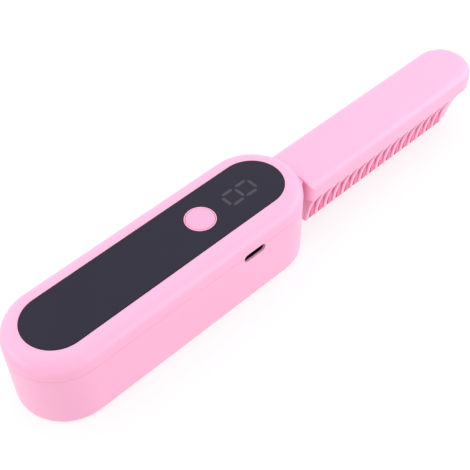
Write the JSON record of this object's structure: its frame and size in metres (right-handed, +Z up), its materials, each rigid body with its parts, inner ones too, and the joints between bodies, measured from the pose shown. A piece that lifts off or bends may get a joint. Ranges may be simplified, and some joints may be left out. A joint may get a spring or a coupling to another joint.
{
  "type": "folding heated hair comb",
  "caption": "Cordless hair straightening comb: rounded handle with dark control panel, round button and digit, and a finned heated comb that folds into the handle's underside.",
  "frame": {"origin": "under the middle of the opened comb, on the plane of the handle's flat underside", "axes": "+X from the handle to the comb's tip, -Y to the side of the charging port, +Z up out of the control panel"},
  "size_m": [0.2125, 0.0354, 0.0311],
  "materials": {
    "casing": "satin pale pink moulded plastic",
    "panel": "dark grey-violet panel with a soft sheen",
    "segments": "unlit smoky grey light guide",
    "button": "smooth pale pink plastic",
    "dark_parts": "black moulded plastic",
    "board": "green circuit board laminate",
    "steel": "plated steel",
    "cell_pouch": "laminated aluminium pouch; its density is near a lithium pouch cell's",
    "foam": "black foam tape",
    "lead": "silicone lead insulation",
    "washer": "natural nylon",
    "arm": "satin pink glass-filled plastic",
    "coated_plate": "aluminium with a deep pink ceramic coating",
    "ceramic": null,
    "heat_pad": "woven heat-proof pad",
    "sensor_glass": "amber glass bead",
    "fuse_can": "plain aluminium can"
  },
  "bodies": {
    "handle": {"handle_body": "casing", "top_cover": "casing", "control_panel": "panel", "digit_segments": "segments", "display_module": "dark_parts", "tact_switch": "dark_parts", "main_board": "board", "board_screws": "steel", "control_chip": "dark_parts", "usb_socket": "steel", "usb_tongue": "dark_parts", "battery_cell": "cell_pouch", "battery_pad": "foam", "battery_leads": "lead", "hinge_bracket": "steel", "bracket_screws": "steel", "hinge_pin": "steel", "friction_washers": "washer", "cover_screws": "steel"},
    "comb": {"hinge_arm": "arm", "arm_screws": "steel", "comb_cover": "casing", "comb_teeth": "casing", "comb_screws": "steel", "heating_plate": "coated_plate", "ceramic_heater": "ceramic", "insulation_pad": "heat_pad", "heater_clamp": "steel", "thermistor": "sensor_glass", "thermal_fuse": "fuse_can", "heater_leads": "lead"},
    "button": {"button_cap": "button", "switch_plunger": "dark_parts"}
  },
  "joints": [
    {"name": "comb_fold", "type": "hinge", "parent": "handle", "child": "comb", "pos_m": [0.0034, 0, 0.01], "axis": [0, 1, 0], "range_deg": [0, 180]},
    {"name": "button_press", "type": "slide", "parent": "handle", "child": "button", "axis": [0, 0, -1], "range_m": [0, 0.0005], "stiffness_N_per_m": 1500, "springref_m": -0.0005}
  ]
}
